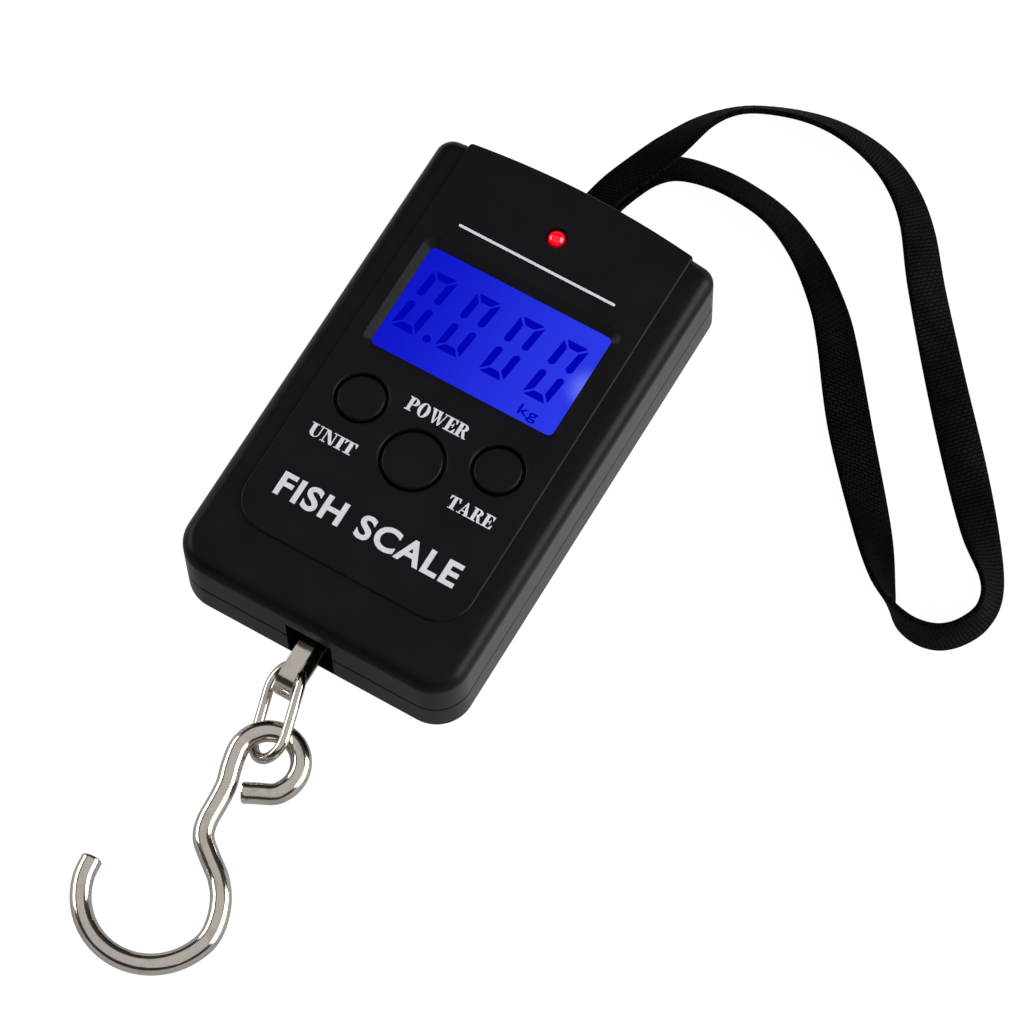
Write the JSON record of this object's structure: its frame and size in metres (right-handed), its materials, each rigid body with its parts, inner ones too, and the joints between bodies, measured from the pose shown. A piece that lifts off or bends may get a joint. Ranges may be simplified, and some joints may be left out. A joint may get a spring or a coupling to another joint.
{
  "type": "digital fish scale",
  "caption": "Pocket hanging scale lying on its back: flat black case with display and push buttons, a wire hook on a chain link at one end and a webbing wrist strap at the other.",
  "frame": {"origin": "centre of the case's flat back face, which the scale lies on", "axes": "+Z out of the display, +Y towards the wrist strap, -Y towards the hook, +X to the right of someone reading the display with the strap end away from them"},
  "size_m": [0.1219, 0.1953, 0.0187],
  "materials": {
    "case_black": "satin black ABS with a very fine moulded texture",
    "button_black": "satin black ABS",
    "lcd_glass": "blue backlit display behind a polariser",
    "light_guide": "frosted clear acrylic",
    "grey_rubber": "matt silicone",
    "white_plastic": "moulded white plastic",
    "circuit_board": "green solder mask",
    "epoxy": "black epoxy drop",
    "led_red": "lit red epoxy lens",
    "load_cell_aluminium": "milled aluminium",
    "gauge_film": "amber foil gauge",
    "nickel": "bright nickel plate",
    "plated_steel": "zinc-plated steel",
    "webbing": "woven black polyester tape",
    "cell_label": "plain printed battery sleeve",
    "wire_red": "red PVC insulation"
  },
  "bodies": {
    "case": {"front_cover": "case_black", "back_cover": "case_black", "lcd_glass": "lcd_glass", "backlight": "light_guide", "zebra_strip": "grey_rubber", "lcd_frame": "white_plastic", "pcb": "circuit_board", "chip_blob": "epoxy", "led": "led_red", "unit_switch": "plated_steel", "power_switch": "plated_steel", "tare_switch": "plated_steel", "load_cell": "load_cell_aluminium", "strain_gauge_upper": "gauge_film", "strain_gauge_lower": "gauge_film", "cell_cable": "wire_red", "battery_link_wire": "wire_red", "strap_bracket": "plated_steel", "strap_pin": "plated_steel", "bracket_bolt": "plated_steel", "hanger_pin": "plated_steel", "strap": "webbing", "battery_left": "cell_label", "battery_right": "cell_label", "battery_contact_left": "plated_steel", "battery_contact_right": "plated_steel", "battery_spring_left": "nickel", "battery_spring_right": "nickel", "case_screw_1": "plated_steel", "case_screw_2": "plated_steel", "case_screw_3": "plated_steel", "case_screw_4": "plated_steel", "pcb_screw_1": "plated_steel", "pcb_screw_2": "plated_steel", "pcb_screw_3": "plated_steel", "pcb_screw_4": "plated_steel", "cell_screw_1": "plated_steel", "cell_screw_2": "plated_steel"},
    "unit_key": {"unit_button": "button_black"},
    "power_key": {"power_button": "button_black"},
    "tare_key": {"tare_button": "button_black"},
    "door_left": {"battery_door_left": "case_black"},
    "door_right": {"battery_door_right": "case_black"},
    "hanger": {"hanger": "nickel"},
    "chain_link": {"chain_link": "nickel"},
    "hook": {"hook": "nickel"}
  },
  "joints": [
    {"name": "unit_press", "type": "slide", "parent": "case", "child": "unit_key", "axis": [0, 0, -1], "range_m": [0, 0.0005], "stiffness_N_per_m": 3000},
    {"name": "power_press", "type": "slide", "parent": "case", "child": "power_key", "axis": [0, 0, -1], "range_m": [0, 0.0005], "stiffness_N_per_m": 3000},
    {"name": "tare_press", "type": "slide", "parent": "case", "child": "tare_key", "axis": [0, 0, -1], "range_m": [0, 0.0005], "stiffness_N_per_m": 3000},
    {"name": "door_left_off", "type": "slide", "parent": "case", "child": "door_left", "axis": [0, 0, -1], "range_m": [0, 0.02]},
    {"name": "door_right_off", "type": "slide", "parent": "case", "child": "door_right", "axis": [0, 0, -1], "range_m": [0, 0.02]},
    {"name": "hanger_swing", "type": "hinge", "parent": "case", "child": "hanger", "pos_m": [0, -0.0325, 0.006], "axis": [0, 0, 1], "range_deg": [-10, 10]},
    {"name": "link_swing", "type": "hinge", "parent": "hanger", "child": "chain_link", "pos_m": [0, -0.0498, 0.006], "axis": [1, 0, 0], "range_deg": [-80, 80]},
    {"name": "hook_swing", "type": "hinge", "parent": "chain_link", "child": "hook", "pos_m": [0.0038, -0.0648, 0.00394], "axis": [0, -0.0499, 0.9988], "range_deg": [-45, 45]}
  ]
}
